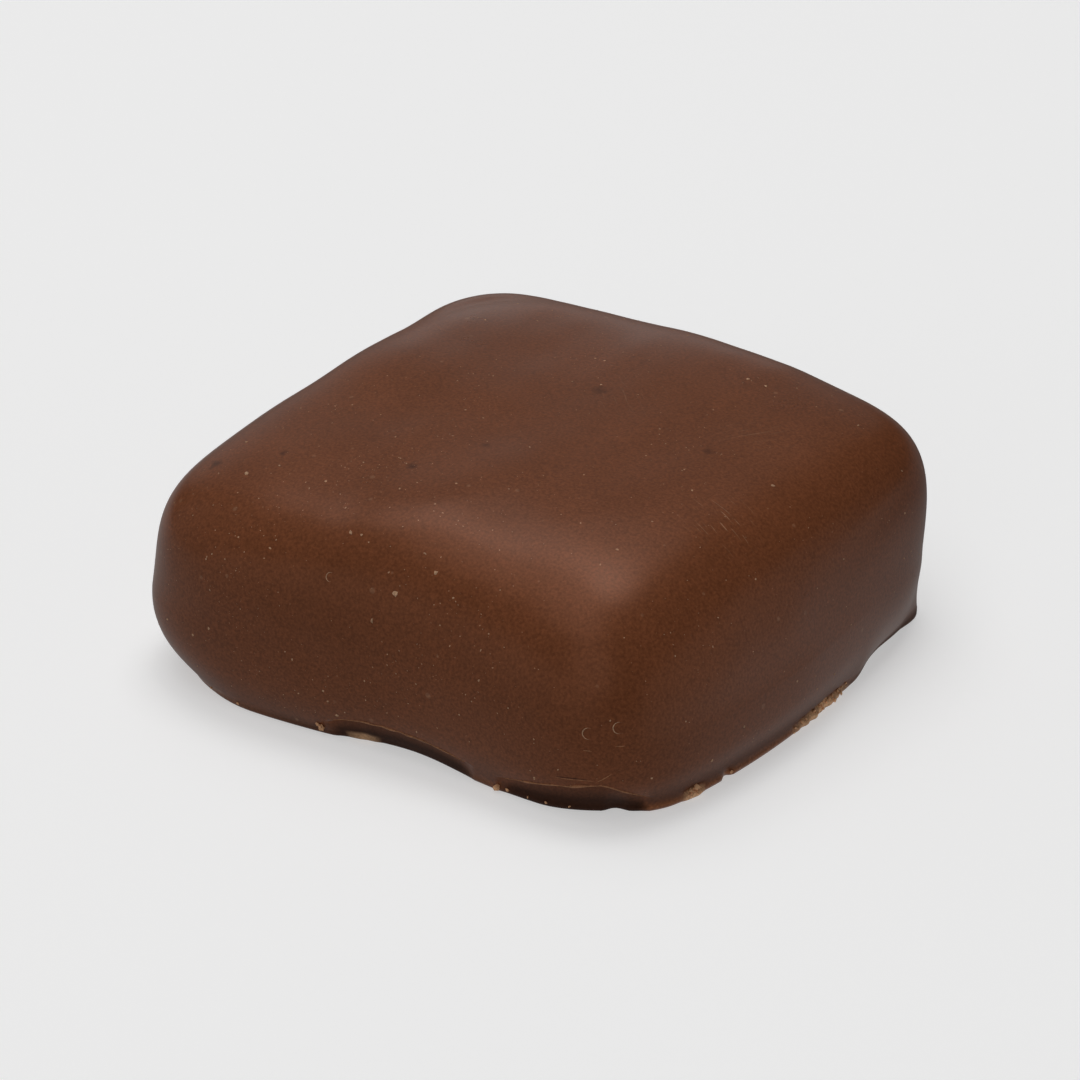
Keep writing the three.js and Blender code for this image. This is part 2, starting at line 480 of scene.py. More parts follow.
def tube_grid(path, normals, radius):
    """A thin tube along a path on the coat: at each point of the path a circle across it, of the radius
    given there, which is nothing at both ends."""
    along = np.gradient(path, axis=0)
    along /= np.linalg.norm(along, axis=1, keepdims=True)
    side = np.cross(along, normals)
    turn = np.linspace(0, FULL_TURN, TUBE_STEPS, endpoint=False)[None, :, None]
    circle = np.cos(turn) * normals[:, None] + np.sin(turn) * side[:, None]
    return path[:, None] + circle * radius[:, None, None]


def closed_grids_mesh(name, grids):
    """A mesh of closed grids whose first and last rings are poles: quads between rings and triangles at
    the poles, facing out where the rings run anticlockwise and up."""
    vertices, faces = [], []
    count = 0
    for points in grids:
        rings, steps, _ = points.shape
        body = points[1:-1].reshape(-1, 3)
        vertices += [points[0, :1], body, points[-1, :1]]
        here = count + 1 + np.arange(steps)
        there = np.roll(here, -1)
        first = np.arange(rings - 3)[:, None] * steps
        quads = np.stack([first + here, first + there, first + steps + there, first + steps + here], -1)
        last = (rings - 3) * steps
        pole = count + 1 + len(body)
        below = np.stack([np.full(steps, count), there, here], -1)
        above = np.stack([last + here, last + there, np.full(steps, pole)], -1)
        faces += quads.reshape(-1, 4).tolist() + below.tolist() + above.tolist()
        count = pole + 1
    mesh = bpy.data.meshes.new(name)
    mesh.from_pydata(np.concatenate(vertices).tolist(), [], faces)
    mesh.shade_smooth()
    return mesh


def add_value(mesh, name, grid):
    """A number for each vertex of a closed grid mesh, as a named attribute."""
    values = np.concatenate([grid[0, :1], grid[1:-1].ravel(), grid[-1, :1]])
    mesh.attributes.new(name, "FLOAT", "POINT").data.foreach_set("value", values)


def lying_axes(normals, draw):
    """Two seeded directions across each normal and square to one another."""
    side = np.cross(normals, draw.normal(size=normals.shape))
    side /= np.linalg.norm(side, axis=1, keepdims=True)
    return side, np.cross(normals, side)


def copies_mesh(name, vertices, faces):
    """One mesh of many copies: vertices of each copy, and the faces of one, numbered on from copy to
    copy."""
    offset = np.arange(len(vertices))[:, None, None] * vertices.shape[1]
    every = []
    for part in faces:
        every += (np.asarray(part)[None] + offset).reshape(-1, len(part[0])).tolist()
    mesh = bpy.data.meshes.new(name)
    mesh.from_pydata(vertices.reshape(-1, 3).tolist(), [], every)
    return mesh


def lumps_mesh(name, centres, normals, sizes, flatness, seed):
    """Many small rough lumps as one mesh: a low ball for each, with seeded dents, flattened along the
    normal of the surface that it lies on."""
    draw = np.random.default_rng(seed)
    rows, columns = 5, 7
    polar = np.linspace(0, np.pi, rows)[1:-1, None]
    turn = np.linspace(0, FULL_TURN, columns, endpoint=False)
    band = np.stack(
        [np.sin(polar) * np.cos(turn), np.sin(polar) * np.sin(turn), np.cos(polar) + 0 * turn], -1
    )
    ball = np.concatenate([[(0, 0, 1)], band.reshape(-1, 3), [(0, 0, -1)]])
    here = np.arange(columns)
    there = np.roll(here, -1)
    first = 1 + np.arange(rows - 3)[:, None] * columns
    quads = np.stack([first + here, first + columns + here, first + columns + there, first + there], -1)
    last = 1 + (rows - 3) * columns
    tip = np.stack([np.zeros(columns, int), 1 + here, 1 + there], -1)
    heel = np.stack([last + there, last + here, np.full(columns, len(ball) - 1)], -1)

    count = len(centres)
    side, other = lying_axes(normals, draw)
    basis = np.stack([side, other * draw.uniform(0.4, 1, (count, 1)), normals * flatness], 1)
    shape = ball * draw.uniform(0.6, 1.15, (count, len(ball), 1))
    shape = np.einsum("nvk,nkc->nvc", shape, basis) * sizes[:, None, None]
    return copies_mesh(name, shape + centres[:, None, :], (quads.reshape(-1, 4), tip, heel))


def arc_grid(seat, normal, radius):
    """A thin tube along an open round arc that lies on the surface: from a third of a turn under the
    level line on one side, round that side, to a third of a turn over it."""
    level = np.cross((0, 0, 1), normal)
    level /= np.linalg.norm(level)
    rise = np.cross(normal, level)
    turn = np.linspace(-1, 1, 28)[:, None] * FULL_TURN / 3
    path = seat - radius * (np.cos(turn) * level + np.sin(turn) * rise)
    thickness = 0.1 * radius * hump(turn[:, 0] / turn[-1, 0])
    return tube_grid(path, np.repeat(normal[None], len(path), axis=0), thickness)


def add_piece(mesh, material):
    """An object at the origin for a mesh, in the given material, riding on the sweet's one body."""
    piece = bpy.data.objects.new(mesh.name, mesh)
    bpy.context.scene.collection.objects.link(piece)
    mesh.materials.append(material)
    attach(piece, BODY)
    return piece


def new_material(name):
    """A material with an empty node tree, its Principled shader linked to its output."""
    material = bpy.data.materials.new(name)
    material.use_nodes = True
    nodes = material.node_tree.nodes
    nodes.clear()
    output = nodes.new("ShaderNodeOutputMaterial")
    shader = nodes.new("ShaderNodeBsdfPrincipled")
    material.node_tree.links.new(shader.outputs["BSDF"], output.inputs["Surface"])
    return material, shader


def feed(tree, socket, value):
    """Links a socket to an input, or sets a plain number, vector or colour on it."""
    if isinstance(value, bpy.types.NodeSocket):
        tree.links.new(value, socket)
    elif socket.type == "RGBA":
        socket.default_value = (*value[:3], 1)
    else:
        socket.default_value = value


def mix_colours(tree, share, first, second):
    """A colour mix node."""
    node = tree.nodes.new("ShaderNodeMix")
    node.data_type = "RGBA"
    feed(tree, node.inputs[0], share)
    feed(tree, node.inputs[6], first)
    feed(tree, node.inputs[7], second)
    return node.outputs[2]


def sum_of(tree, operation, first, second):
    """A maths node."""
    node = tree.nodes.new("ShaderNodeMath")
    node.operation = operation
    feed(tree, node.inputs[0], first)
    feed(tree, node.inputs[1], second)
    return node.outputs[0]


def moved(tree, operation, vector, second):
    """A vector maths node with a vector result."""
    node = tree.nodes.new("ShaderNodeVectorMath")
    node.operation = operation
    feed(tree, node.inputs[0], vector)
    feed(tree, node.inputs["Scale" if operation == "SCALE" else 1], second)
    return node.outputs["Vector"]


def remap(tree, value, low, high, to_low, to_high):
    """A clamped map range node."""
    node = tree.nodes.new("ShaderNodeMapRange")
    feed(tree, node.inputs["Value"], value)
    for name, number in (("From Min", low), ("From Max", high), ("To Min", to_low), ("To Max", to_high)):
        feed(tree, node.inputs[name], number)
    return node.outputs["Result"]


def noise(tree, vector, scale, detail, roughness=0.5):
    """A noise texture's value."""
    node = tree.nodes.new("ShaderNodeTexNoise")
    feed(tree, node.inputs["Vector"], vector)
    node.inputs["Scale"].default_value = scale
    node.inputs["Detail"].default_value = detail
    node.inputs["Roughness"].default_value = roughness
    return node.outputs["Fac"]


def new_group(name, inputs, outputs):
    """An empty shader node group with sockets of the given names and kinds, and its inner ends."""
    group = bpy.data.node_groups.new(name, "ShaderNodeTree")
    for socket, kind in inputs:
        group.interface.new_socket(socket, in_out="INPUT", socket_type="NodeSocket" + kind)
    for socket, kind in outputs:
        group.interface.new_socket(socket, in_out="OUTPUT", socket_type="NodeSocket" + kind)
    return group, group.nodes.new("NodeGroupInput"), group.nodes.new("NodeGroupOutput")


def mottle_group():
    """Cocoa mottle: a colour made darker and lighter in soft patches and fine grains, and a fine
    relief."""
    name = "Cocoa mottle"
    if name in bpy.data.node_groups:
        return bpy.data.node_groups[name]
    group, inside, outside = new_group(
        name,
        (("Vector", "Vector"), ("Color", "Color")),
        (("Color", "Color"), ("Patches", "Float"), ("Relief", "Float")),
    )
    vector = inside.outputs["Vector"]
    patches = noise(group, vector, 130, 4, 0.6)
    grain = noise(group, vector, 5200, 2, 0.6)
    shade = remap(group, patches, 0.3, 0.7, 0.93, 1.07)
    speckle = remap(group, grain, 0.3, 0.7, 0.73, 1.27)
    tone = sum_of(group, "MULTIPLY", shade, speckle)
    group.links.new(moved(group, "SCALE", inside.outputs["Color"], tone), outside.inputs["Color"])
    group.links.new(patches, outside.inputs["Patches"])
    group.links.new(grain, outside.inputs["Relief"])
    return group


def flecks_group():
    """Sparse round spots: a mask that is one near some of the points of a cell texture. Scale is cells
    to the metre and Reach is the radius of a spot in cells."""
    name = "Flecks"
    if name in bpy.data.node_groups:
        return bpy.data.node_groups[name]
    group, inside, outside = new_group(
        name, (("Vector", "Vector"), ("Scale", "Float"), ("Reach", "Float")), (("Mask", "Float"),)
    )
    cells = group.nodes.new("ShaderNodeTexVoronoi")
    group.links.new(inside.outputs["Vector"], cells.inputs["Vector"])
    group.links.new(inside.outputs["Scale"], cells.inputs["Scale"])
    apart = group.nodes.new("ShaderNodeSeparateColor")
    group.links.new(cells.outputs["Color"], apart.inputs["Color"])
    share = remap(group, apart.outputs["Red"], 0, 1, 0.3, 1)
    reach = sum_of(group, "MULTIPLY", inside.outputs["Reach"], share)
    mask = remap(group, cells.outputs["Distance"], reach, 0, 0, 1)
    group.links.new(sum_of(group, "SQRT", mask, 0), outside.inputs["Mask"])
    return group


def scuffs_group():
    """Fine scratches: straight lines at an even spacing along one direction, bent and broken up by
    noise, and faded with the distance from a centre."""
    name = "Scuffs"
    if name in bpy.data.node_groups:
        return bpy.data.node_groups[name]
    group, inside, outside = new_group(
        name,
        (("Vector", "Vector"), ("Center", "Vector"), ("Angle", "Float"), ("Reach", "Float")),
        (("Mask", "Float"),),
    )
    local = moved(group, "SUBTRACT", inside.outputs["Vector"], inside.outputs["Center"])
    turned = group.nodes.new("ShaderNodeVectorRotate")
    turned.rotation_type = "Z_AXIS"
    group.links.new(local, turned.inputs["Vector"])
    group.links.new(inside.outputs["Angle"], turned.inputs["Angle"])
    apart = group.nodes.new("ShaderNodeSeparateXYZ")
    group.links.new(turned.outputs["Vector"], apart.inputs["Vector"])
    bend = sum_of(group, "MULTIPLY", noise(group, local, 240, 1), 0.0008)
    across = sum_of(group, "ADD", apart.outputs["Y"], bend)
    cycle = sum_of(group, "FRACT", sum_of(group, "DIVIDE", across, 0.00034), 0)
    off = sum_of(group, "ABSOLUTE", sum_of(group, "SUBTRACT", cycle, 0.5), 0)
    lines = remap(group, off, 0.13, 0.03, 0, 1)
    breaks = noise(group, moved(group, "MULTIPLY", turned.outputs["Vector"], (350, 1900, 1900)), 1, 1)
    far = group.nodes.new("ShaderNodeVectorMath")
    far.operation = "LENGTH"
    group.links.new(local, far.inputs[0])
    fade = remap(group, far.outputs["Value"], inside.outputs["Reach"], 0, 0, 1)
    kept = sum_of(group, "MULTIPLY", remap(group, breaks, 0.5, 0.62, 0, 1), fade)
    group.links.new(sum_of(group, "MULTIPLY", lines, kept), outside.inputs["Mask"])
    return group


def spot_group():
    """One soft spot: a mask that is one at a centre and falls smoothly to nothing at a reach, with a
    ragged edge."""
    name = "Soft spot"
    if name in bpy.data.node_groups:
        return bpy.data.node_groups[name]
    group, inside, outside = new_group(
        name, (("Vector", "Vector"), ("Center", "Vector"), ("Reach", "Float")), (("Mask", "Float"),)
    )
    local = moved(group, "SUBTRACT", inside.outputs["Vector"], inside.outputs["Center"])
    far = group.nodes.new("ShaderNodeVectorMath")
    far.operation = "LENGTH"
    group.links.new(local, far.inputs[0])
    ragged = remap(group, noise(group, inside.outputs["Vector"], 1500, 2), 0.3, 0.7, 0.6, 1.4)
    reach = sum_of(group, "MULTIPLY", inside.outputs["Reach"], ragged)
    group.links.new(remap(group, far.outputs["Value"], reach, 0, 0, 1), outside.inputs["Mask"])
    return group


def use_group(material, group, **inputs):
    """A node group in a material, on Object coordinates, with its other inputs fed by name."""
    tree = material.node_tree
    node = tree.nodes.new("ShaderNodeGroup")
    node.node_tree = group
    place = tree.nodes.new("ShaderNodeTexCoord")
    tree.links.new(place.outputs["Object"], node.inputs["Vector"])
    for name, value in inputs.items():
        feed(tree, node.inputs[name], value)
    return node


def add_relief(material, shader, height, distance, strength):
    """A bump from a height socket into the shader's normal."""
    tree = material.node_tree
    node = tree.nodes.new("ShaderNodeBump")
    node.inputs["Strength"].default_value = strength
    node.inputs["Distance"].default_value = distance
    tree.links.new(height, node.inputs["Height"])
    tree.links.new(node.outputs["Normal"], shader.inputs["Normal"])


def attribute(material, name):
    """The value of a mesh attribute."""
    node = material.node_tree.nodes.new("ShaderNodeAttribute")
    node.attribute_name = name
    return node.outputs["Fac"]


# Where the top is scuffed: centre in millimetres, direction in degrees, reach in millimetres, strength
SCUFFS = (
    ((16, -4, 15), 10, 3.2, 0.55),
    ((11.8, 5.6, 16.2), 115, 3, 0.4),
    ((2, 5, 16.5), 40, 4, 0.22),
)
# Painted shade of shallow pits in the coat, as dark soft spots with no dent: centre and reach in millimetres,
# strength
PITS = (
    ((-16.7, -15.4, 14), 0.6, 0.8),
    ((-12.5, -13.5, 15.3), 0.4, 0.7),
    ((-3.5, -11.2, 16.1), 0.5, 0.7),
    ((-1.1, -6.4, 16.4), 0.45, 0.6),
    ((10.7, 1.8, 16.2), 0.5, 0.6),
    ((0.1, 4.4, 16.5), 0.8, 0.5),
)


def coat_material(look):
    """Satin milk chocolate: mottled, with pale flecks and scuffs, warmer and paler at the flange, partly as a
    painted highlight, with painted shade in the chips' hollows, the cove, the rim, the underside and the
    pits, rougher there, and drier and paler where the rim has crumbled."""
    material, shader = new_material("milk chocolate coat")
    tree = material.node_tree
    worn = attribute(material, "broken")
    shade = attribute(material, "shade")
    # The thin value warms the flange and pales it as a painted highlight.
    base = mix_colours(tree, attribute(material, "thin"), look.brown, look.thin)
    # Painted shade: the shade value mixes the colour towards deep.
    base = mix_colours(tree, sum_of(tree, "MULTIPLY", shade, 0.92), base, look.deep)
    base = mix_colours(tree, worn, base, look.broken)
    pale = use_group(material, flecks_group(), Scale=420, Reach=0.1)
    base = mix_colours(tree, sum_of(tree, "MULTIPLY", pale.outputs["Mask"], 0.3), base, look.dust)
    for centre, angle, reach, strength in SCUFFS:
        scuff = use_group(
            material,
            scuffs_group(),
            Center=tuple(value * MM for value in centre),
            Angle=math.radians(angle),
            Reach=reach * MM,
        )
        share = sum_of(tree, "MULTIPLY", scuff.outputs["Mask"], strength)
        base = mix_colours(tree, share, base, look.dust)
    # Painted shade at each pit: a soft spot mixed towards deep.
    for centre, reach, strength in PITS:
        place = tuple(value * MM for value in centre)
        pit = use_group(material, spot_group(), Center=place, Reach=reach * MM)
        share = sum_of(tree, "MULTIPLY", pit.outputs["Mask"], strength)
        base = mix_colours(tree, share, base, look.deep)
    mottle = use_group(material, mottle_group(), Color=base)
    tree.links.new(mottle.outputs["Color"], shader.inputs["Base Color"])
    rough = remap(tree, mottle.outputs["Patches"], 0.3, 0.7, look.roughness - 0.03, look.roughness + 0.03)
    dry_and_painted_shade = sum_of(tree, "MAXIMUM", worn, shade)
    tree.links.new(sum_of(tree, "ADD", rough, remap(tree, dry_and_painted_shade, 0, 1, 0, 0.4)), shader.inputs["Roughness"])
    shader.inputs["Specular IOR Level"].default_value = look.gloss
    feed(tree, shader.inputs["Specular Tint"], look.sheen)
    add_relief(material, shader, mottle.outputs["Relief"], 0.012 * MM, 0.4)
    return material


def crumb_material(name, base, roughness):
    """A rough chocolate material: for dust, crumbs, flakes and pinhole rims, and for the pale edges and the
    dark crack line, which are a painted highlight and a painted shadow.
    """
    material, shader = new_material(name)
    mottle = use_group(material, mottle_group(), Color=base)
    material.node_tree.links.new(mottle.outputs["Color"], shader.inputs["Base Color"])
    shader.inputs["Roughness"].default_value = roughness
    shader.inputs["Specular IOR Level"].default_value = 0.2
    add_relief(material, shader, mottle.outputs["Relief"], 0.03 * MM, 0.5)
    return material


def seats(points, places):
    """Ring and step of the grid nearest to each direction in degrees and height in millimetres, outside
    the foot and short of the middle of the top."""
    degrees, heights = np.asarray(places, float).T
    step = np.round(degrees / 360 * STEPS_AROUND).astype(int) % STEPS_AROUND
    first = BASE_STEPS + RIM_STEPS
    gap = np.abs(points[first : -TOP_STEPS // 2, step, 2] - heights * MM)
    return first + gap.argmin(0), step


def nearest(points, places):
    """Ring and step of the grid nearest to each place in millimetres."""
    gap = np.linalg.norm(points - np.asarray(places)[:, None, None] * MM, axis=-1)
    return np.unravel_index(gap.reshape(len(places), -1).argmin(1), points.shape[:2])


class SWEET_OT_coat(bpy.types.Operator):
    """Make the chocolate coat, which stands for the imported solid"""

    bl_idname = "sweet.make_coat"
    bl_label = "Make the coat"

    def execute(self, context):
        settings = context.scene.sweet
        grid = coat_surface(settings.coat)
        mesh = closed_grids_mesh("chocolate_coat", [grid.points])
        for name in ("broken", "thin", "shade"):
            add_value(mesh, name, getattr(grid, name))
        coat = add_piece(mesh, coat_material(settings.chocolate))
        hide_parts(NODE)
        return {"FINISHED"}


# Hairline cracks over the front chip: direction in degrees and height in millimetres along each
CRACKS = (
    ((306, 3.1), (308.1, 3.2), (310.2, 3.3), (313, 3.35)),
    ((312.6, 3.2), (313.4, 3.45), (314.2, 3.7), (315, 4.0)),
)
# Two short marks under the burst bubbles at the corner
MARKS = (((310.7, 5.6), (312.1, 5.6)), ((315.3, 6), (316.9, 6)))
EDGE_RADIUS = 0.065


class SWEET_OT_edges(bpy.types.Operator):
    """Make the thin edges over the chips and the hairline cracks, pale as a painted highlight, and a
    painted shadow along the first crack
    """

    bl_idname = "sweet.make_edges"
    bl_label = "Make the edges"

    def execute(self, context):
        settings = context.scene.sweet
        sizes = settings.coat
        grid = coat_surface(sizes)
        tubes, shadows = [], []
        for chip in FOOT_CHIPS:
            ends = np.array([chip.at - 0.96 * chip.before, chip.at + 0.96 * chip.after])
            first, last = np.round(ends / 360 * STEPS_AROUND).astype(int)
            step = np.arange(first, last + 1) % STEPS_AROUND
            uneven = 1 + 0.3 * jagged(step / STEPS_AROUND * FULL_TURN, 60, 8)
            radius = EDGE_RADIUS * MM * uneven * hump(np.linspace(-1, 1, len(step))) ** 0.3
            tubes.append(tube_grid(grid.points[LIP_RING, step], grid.normals[LIP_RING, step], radius))
        for crack in CRACKS + MARKS:
            degrees, heights = np.array(crack).T
            angle = np.radians(np.linspace(degrees[0], degrees[-1], 24))
            height = np.interp(np.degrees(angle), degrees, heights) * MM
            radius = tucked(sizes, coat_sections(sizes, angle), height)
            path = np.stack([radius * np.cos(angle), radius * np.sin(angle), height], -1) + grid.shift
            outward = np.stack([np.cos(angle), np.sin(angle), 0 * angle], -1)
            taper = hump(np.linspace(-1, 1, len(angle))) ** 0.5
            tubes.append(tube_grid(path, outward, 0.6 * EDGE_RADIUS * MM * taper))
            # A painted shadow along the first crack: a dark tube just over its pale line.
            if crack == CRACKS[0]:
                over = path + np.array([0, 0, 0.09 * MM])
                shadows.append(tube_grid(over, outward, 0.7 * EDGE_RADIUS * MM * taper))
        look = settings.chocolate
        mesh = closed_grids_mesh("broken_edges", tubes)
        add_piece(mesh, crumb_material("edge highlight chocolate", look.edge, 0.5))
        mesh = closed_grids_mesh("crack_shadows", shadows)
        add_piece(mesh, crumb_material("painted crack shadow", look.crack, 0.7))
        return {"FINISHED"}


# Larger specks and spots that show on the near sides: place and radius in millimetres
Spot = namedtuple("Spot", "place radius")
SPOTS = (
    Spot((1.4, -19.3, 12.0), 0.22),
    Spot((0.3, -20.2, 9.9), 0.22),
    Spot((-13.3, -16.1, 14.6), 0.2),
    Spot((-2.9, -18.1, 14.2), 0.2),
    Spot((16, 1.7, 15.4), 0.16),
    Spot((-2.6, -20.6, 2.2), 0.15),
    Spot((-16.1, -12.7, 14.7), 0.14),
    Spot((2.5, -17.5, 14.2), 0.14),
    Spot((-12.1, -21.8, 6), 0.14),
    Spot((20.6, -11.4, 2.7), 0.14),
    Spot((-2.1, -18.1, 14.3), 0.12),
    Spot((20.9, 1.9, 3), 0.12),
    Spot((21, -8.8, 4), 0.12),
    Spot((13, -11.3, 15.2), 0.12),
    Spot((3.4, -19.8, 2.7), 0.12),
    Spot((21.3, -3.2, 5), 0.11),
    Spot((-7.9, -20.3, 12.5), 0.11),
    Spot((20, 11.5, 7.2), 0.11),
    Spot((14.6, -19.6, 3.8), 0.1),
    Spot((12.6, -19.7, 2.6), 0.1),
    Spot((19.3, -16.1, 3.3), 0.1),
    Spot((5.4, -18.4, 12.4), 0.1),
    Spot((8.4, -19.8, 8.2), 0.1),
    Spot((0.7, -18.9, 13), 0.1),
    Spot((19, 12.2, 13.1), 0.1),
)


class SWEET_OT_specks(bpy.types.Operator):
    """Make the loose specks of dust on the coat"""

    bl_idname = "sweet.make_specks"
    bl_label = "Make the specks"

    def execute(self, context):
        settings = context.scene.sweet
        look = settings.chocolate
        grid = coat_surface(settings.coat)
        draw = np.random.default_rng(21)
        span = np.linalg.norm(np.gradient(grid.points, axis=0), axis=-1)
        width = np.linalg.norm(np.roll(grid.points, -1, axis=1) - grid.points, axis=-1)
        angle = np.arange(STEPS_AROUND) / STEPS_AROUND * FULL_TURN
        crowd = np.exp(0.8 * soft_waves(grid.points, 9 * MM, 23))
        front = 1 + 1.5 * hump(turned_from(angle, 262) / 50)
        chance = span * width * (crowd * front)
        chance[: LIP_RING + 1] = 0
        picked = draw.choice(chance.size, look.speck_count, p=(chance / chance.sum()).ravel())
        ring, step = np.unravel_index(picked, chance.shape)
        size = draw.gamma(1.1, 0.018, look.speck_count) + 0.012
        spot_ring, spot_step = nearest(grid.points, [spot.place for spot in SPOTS])
        ring = np.concatenate([ring, spot_ring])
        step = np.concatenate([step, spot_step])
        size = np.concatenate([size, [spot.radius for spot in SPOTS]]) * MM
        mesh = lumps_mesh("dust_specks", grid.points[ring, step], grid.normals[ring, step], size, 0.3, 22)
        add_piece(mesh, crumb_material("chocolate dust", look.dust, 0.7))
        return {"FINISHED"}


# Burst bubbles in the coat: direction in degrees, height and radius in millimetres
PINHOLES = ((311.5, 6.8, 0.38), (315.7, 7.2, 0.38), (261, 12, 0.3), (100, 7, 0.36), (185, 8, 0.32))


class SWEET_OT_pinholes(bpy.types.Operator):
    """Make the thin open rims of burst bubbles in the coat"""

    bl_idname = "sweet.make_pinholes"
    bl_label = "Make the pinholes"

    def execute(self, context):
        settings = context.scene.sweet
        look = settings.chocolate
        grid = coat_surface(settings.coat)
        places = np.array(PINHOLES)
        ring, step = seats(grid.points, places[:, :2])
        arcs = [
            arc_grid(grid.points[r, s], grid.normals[r, s], radius * MM)
            for r, s, radius in zip(ring, step, places[:, 2])
        ]
        mesh = closed_grids_mesh("pinhole_rims", arcs)
        add_piece(mesh, crumb_material("pinhole chocolate", look.dust, 0.5))
        return {"FINISHED"}


# Flakes that hang at the foot: direction in degrees, height and radius in millimetres
FLAKES = (
    (258.2, 0.7, 0.34),
    (257.3, 0.9, 0.18),
    (297, 0.5, 0.34),
    (298.4, 0.3, 0.16),
    (302.5, 0.35, 0.12),
    (305.3, 0.3, 0.12),
    (308.8, 0.35, 0.12),
    (328.8, 0.4, 0.18),
    (330.2, 0.4, 0.22),
    (338.5, 0.4, 0.16),
    (283.8, 1.6, 0.12),
    (236.1, 0.5, 0.14),
    (242.3, 0.3, 0.12),
)


class SWEET_OT_crumbs(bpy.types.Operator):
    """Make the crumbs along the broken rim and the flakes at the foot"""

    bl_idname = "sweet.make_crumbs"
    bl_label = "Make the crumbs"

    def execute(self, context):
        settings = context.scene.sweet
        look = settings.chocolate
        grid = coat_surface(settings.coat)
        draw = np.random.default_rng(31)
        stretches = np.array(CRUMBLED_RIM, float)
        chance = stretches[:, 1] * stretches[:, 2] ** 4
        which = draw.choice(len(stretches), look.crumb_count, p=chance / chance.sum())
        degrees = stretches[which, 0] + stretches[which, 1] * draw.uniform(-0.9, 0.9, look.crumb_count)
        step = np.round(degrees / 360 * STEPS_AROUND).astype(int) % STEPS_AROUND
        ring = BASE_STEPS + RIM_STEPS + draw.integers(-1, 5, look.crumb_count)
        size = draw.gamma(3, 0.035, look.crumb_count)
        places = np.array(FLAKES)
        flake_ring, flake_step = seats(grid.points, places[:, :2])
        broken = crumb_material("broken chocolate", look.broken, 0.75)
        flaky = crumb_material("flake chocolate", look.flake, 0.7)
        kinds = (
            ("rim_crumbs", ring, step, size, broken),
            ("foot_flakes", flake_ring, flake_step, places[:, 2], flaky),
        )
        for name, ring, step, size, material in kinds:
            reach = size * MM
            normals = grid.normals[ring, step]
            centres = grid.points[ring, step] + normals * reach[:, None] * 0.3
            centres[:, 2] = np.maximum(centres[:, 2], reach)
            add_piece(lumps_mesh(name, centres, normals, reach, 0.5, 32), material)
        return {"FINISHED"}


class SWEET_OT_stage(bpy.types.Operator):
    """Set up the floor, the soft lights and the camera"""

    bl_idname = "sweet.set_stage"
    bl_label = "Set the stage"

    def execute(self, context):
        stage = context.scene.sweet.stage
        make_floor(stage)
        make_lights()
        make_camera(stage)
        context.scene.view_settings.view_transform = "Standard"
        return {"FINISHED"}


def make_floor(stage):
    """A wide flat floor at the level of the base, lit from below as a light table is: an even pale glow
    to the eye, and a dimmer one on to the sweet with a brighter wedge at the right."""
    half = 2.0
    mesh = bpy.data.meshes.new("floor")
    corners = [(-half, -half, 0), (half, -half, 0), (half, half, 0), (-half, half, 0)]
    mesh.from_pydata(corners, [], [(0, 1, 2, 3)])
    floor = bpy.data.objects.new("floor", mesh)
    bpy.context.scene.collection.objects.link(floor)
    material, shader = new_material("pale floor")
    tree = material.node_tree
    seen = tree.nodes.new("ShaderNodeLightPath").outputs["Is Camera Ray"]
    place = tree.nodes.new("ShaderNodeTexCoord").outputs["Object"]
    apart = tree.nodes.new("ShaderNodeSeparateXYZ")
    tree.links.new(moved(tree, "SUBTRACT", place, WEDGE_TIP), apart.inputs["Vector"])
    turn = sum_of(tree, "ARCTAN2", apart.outputs["Y"], apart.outputs["X"])
    off = sum_of(tree, "ABSOLUTE", sum_of(tree, "SUBTRACT", turn, WEDGE_TURN), 0)
    side = remap(tree, apart.outputs["X"], WEDGE_START, 1.3 * WEDGE_START, 0, stage.right_glow)
    wedge = sum_of(tree, "MULTIPLY", side, remap(tree, off, WEDGE_REACH + 0.05, WEDGE_REACH - 0.05, 0, 1))
    under = remap(tree, apart.outputs["Y"], 0.03, 0.06, stage.under_glow, 0.4 * stage.under_glow)
    glow = mix_colours(tree, seen, sum_of(tree, "ADD", wedge, under), (stage.floor_glow,) * 3)
    tree.links.new(glow, shader.inputs["Emission Color"])
    shader.inputs["Emission Strength"].default_value = 1
    tree.links.new(mix_colours(tree, seen, (0, 0, 0), stage.floor), shader.inputs["Base Color"])
    shader.inputs["Roughness"].default_value = 1
    shader.inputs["Specular IOR Level"].default_value = 0
    mesh.materials.append(material)


# The brighter wedge of floor at the right: its tip in metres, and its direction and half width in radians
WEDGE_TIP = (0.012, -0.017, 0)
WEDGE_START = 0.018
WEDGE_TURN = math.radians(24)
WEDGE_REACH = math.radians(36)
# Studio lights a metre away: direction and elevation in degrees, width and height in metres, power in watts
Light = namedtuple("Light", "name azimuth elevation width height power")
LIGHTS = (
    Light("overhead", 95, 78, 0.4, 0.4, 1.8),
    Light("back_top", 128, 66, 0.7, 0.7, 0.95),
    Light("back_left", 160, 59, 0.5, 0.5, 0.48),
    Light("left_top", 180, 73, 0.6, 0.6, 1.1),
    Light("front_top", 265, 68, 0.6, 0.6, 1.4),
    Light("back_soft", 142, 9, 0.6, 0.6, 0.12),
    Light("back_wide", 132, 29, 1.2, 1.2, 0.5),
    Light("back_low", 125, 4, 0.3, 0.3, 0.07),
    Light("right_panel", 16, 11, 1.1, 0.4, 0.75),
    Light("front_panel", 258, 10, 1.3, 0.5, 1.1),
    Light("front", 290, 35, 0.6, 0.6, 0.78),
    Light("left", 200, 25, 0.8, 0.8, 0.3),
)


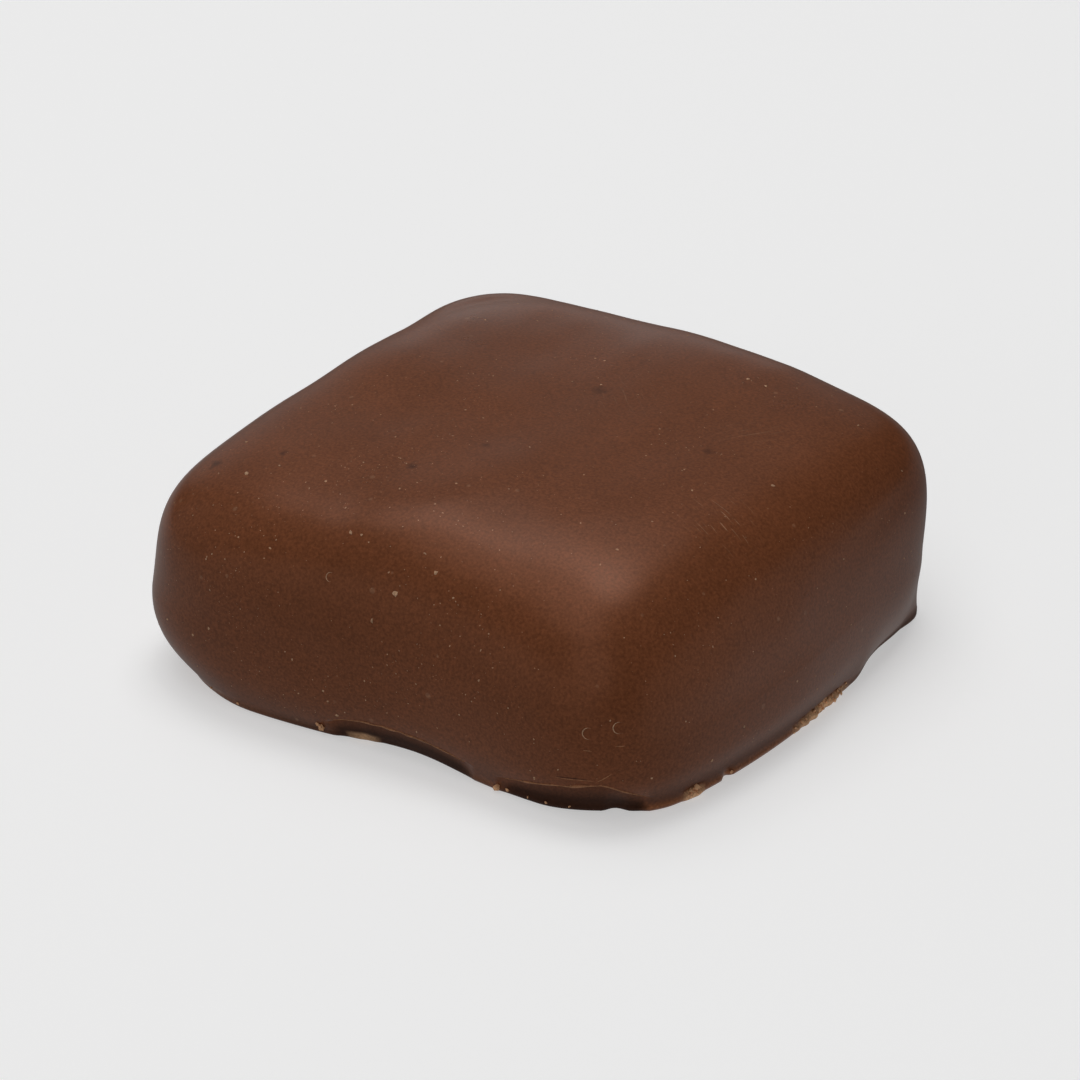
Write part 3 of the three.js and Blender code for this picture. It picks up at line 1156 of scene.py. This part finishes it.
def make_lights():
    """Soft lights that face the sweet, round or, where they are wider than high, oblong, and a dark
    world."""
    for light in LIGHTS:
        data = bpy.data.lights.new(light.name, "AREA")
        data.shape = "DISK" if light.width == light.height else "RECTANGLE"
        data.size = light.width
        data.size_y = light.height
        data.energy = light.power
        turn, rise = math.radians(light.azimuth), math.radians(light.elevation)
        lamp = bpy.data.objects.new(light.name, data)
        lamp.location = (math.cos(turn) * math.cos(rise), math.sin(turn) * math.cos(rise), math.sin(rise))
        lamp.rotation_euler = lamp.location.to_track_quat("Z", "Y").to_euler()
        bpy.context.scene.collection.objects.link(lamp)
    world = bpy.data.worlds.new("studio")
    world.use_nodes = True
    world.node_tree.nodes["Background"].inputs["Color"].default_value = (1, 1, 1, 1)
    world.node_tree.nodes["Background"].inputs["Strength"].default_value = 0.005
    bpy.context.scene.world = world


# Where the camera looks, as offsets in millimetres along its own right and up from the point it turns about
TURN_POINT = (0.072, -0.587, 8.0)
AIM_RIGHT = -0.977
AIM_UP = -0.572


def make_camera(stage):
    """A camera at the azimuth and elevation round the turn point, looking a little to one side of it."""
    a, e = stage.azimuth, stage.elevation
    back = Vector((math.sin(a) * math.cos(e), -math.cos(a) * math.cos(e), math.sin(e)))
    right = Vector((math.cos(a), math.sin(a), 0))
    up = back.cross(right)
    turn_point = Vector(TURN_POINT) * MM
    aim = turn_point + (right * AIM_RIGHT + up * AIM_UP) * MM
    data = bpy.data.cameras.new("camera")
    data.lens = stage.lens
    data.clip_start = 0.01
    camera = bpy.data.objects.new("camera", data)
    camera.location = turn_point + back * stage.distance
    camera.rotation_euler = (aim - camera.location).to_track_quat("-Z", "Y").to_euler()
    bpy.context.scene.collection.objects.link(camera)
    bpy.context.scene.camera = camera


class VIEW3D_PT_sweet(bpy.types.Panel):
    """The steps that make the sweet, with its sizes and colours"""

    bl_label = "Coated marshmallow"
    bl_space_type = "VIEW_3D"
    bl_region_type = "UI"
    bl_category = "Sweet"

    def draw(self, context):
        layout = self.layout
        for operator in STEPS:
            layout.operator(operator.bl_idname)
        settings = context.scene.sweet
        for group in (settings.coat, settings.chocolate, settings.stage):
            column = layout.box().column()
            for name in group.bl_rna.properties.keys():
                if name not in ("rna_type", "name"):
                    column.prop(group, name)


STEPS = (
    SWEET_OT_coat,
    SWEET_OT_edges,
    SWEET_OT_specks,
    SWEET_OT_pinholes,
    SWEET_OT_crumbs,
    SWEET_OT_stage,
)
CLASSES = (CoatSizes, ChocolateLook, StageLook, SweetSettings, *STEPS, VIEW3D_PT_sweet)


def register():
    for item in CLASSES:
        bpy.utils.register_class(item)
    bpy.types.Scene.sweet = PointerProperty(type=SweetSettings)


def unregister():
    del bpy.types.Scene.sweet
    for item in reversed(CLASSES):
        bpy.utils.unregister_class(item)


def main():
    register()
    for step in STEPS:
        section, name = step.bl_idname.split(".")
        getattr(getattr(bpy.ops, section), name)()


if __name__ == "__main__":
    main()
